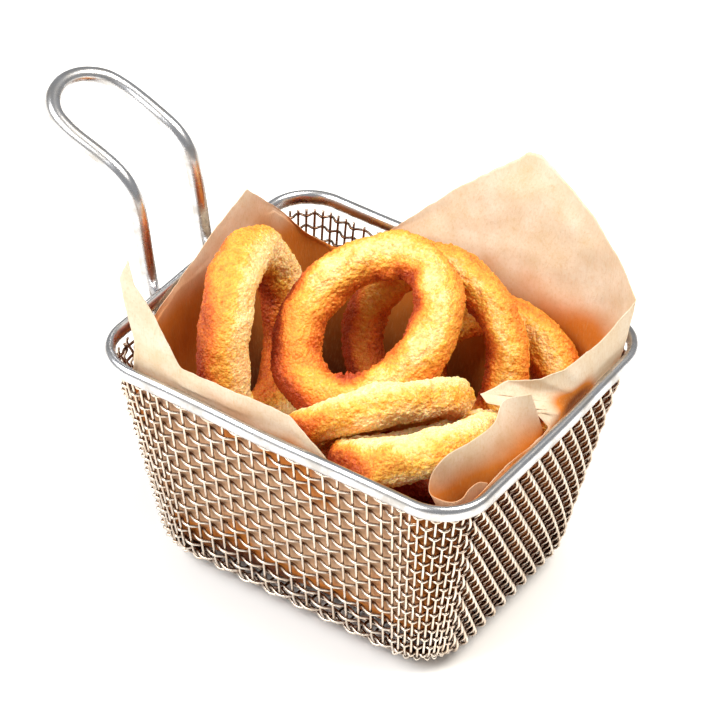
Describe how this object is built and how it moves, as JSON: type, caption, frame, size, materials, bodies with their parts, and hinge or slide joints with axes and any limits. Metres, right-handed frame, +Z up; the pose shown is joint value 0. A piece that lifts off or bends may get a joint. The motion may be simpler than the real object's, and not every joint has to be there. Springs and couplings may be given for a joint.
{
  "type": "onion rings side",
  "caption": "Battered onion rings heaped in a small oblong wire mesh frying basket with a rim, one bent wire handle and a brown paper liner.",
  "frame": {"origin": "middle of the basket's flat bottom, on the surface that it stands on", "axes": "+Z up; the basket's long side lies along X, and the handle stands on its -X side; -Y is the front long side"},
  "size_m": [0.1698, 0.1132, 0.1218],
  "materials": {
    "steel_mesh": "bright woven stainless wire",
    "steel": "polished",
    "kraft_paper": "matte",
    "fried_batter": null
  },
  "bodies": {
    "root": {"basket_wall": "steel_mesh", "basket_rim": "steel", "basket_handle": "steel", "paper_liner": "kraft_paper", "paper_curl": "kraft_paper", "onion_ring_left": "fried_batter", "onion_ring_middle": "fried_batter", "onion_ring_back": "fried_batter", "onion_ring_right": "fried_batter", "onion_ring_front_upper": "fried_batter", "onion_ring_front_lower": "fried_batter", "onion_ring_under_left": "fried_batter", "onion_ring_under_right": "fried_batter", "onion_ring_bottom_right": "fried_batter", "onion_ring_bottom_left": "fried_batter"}
  },
  "joints": []
}
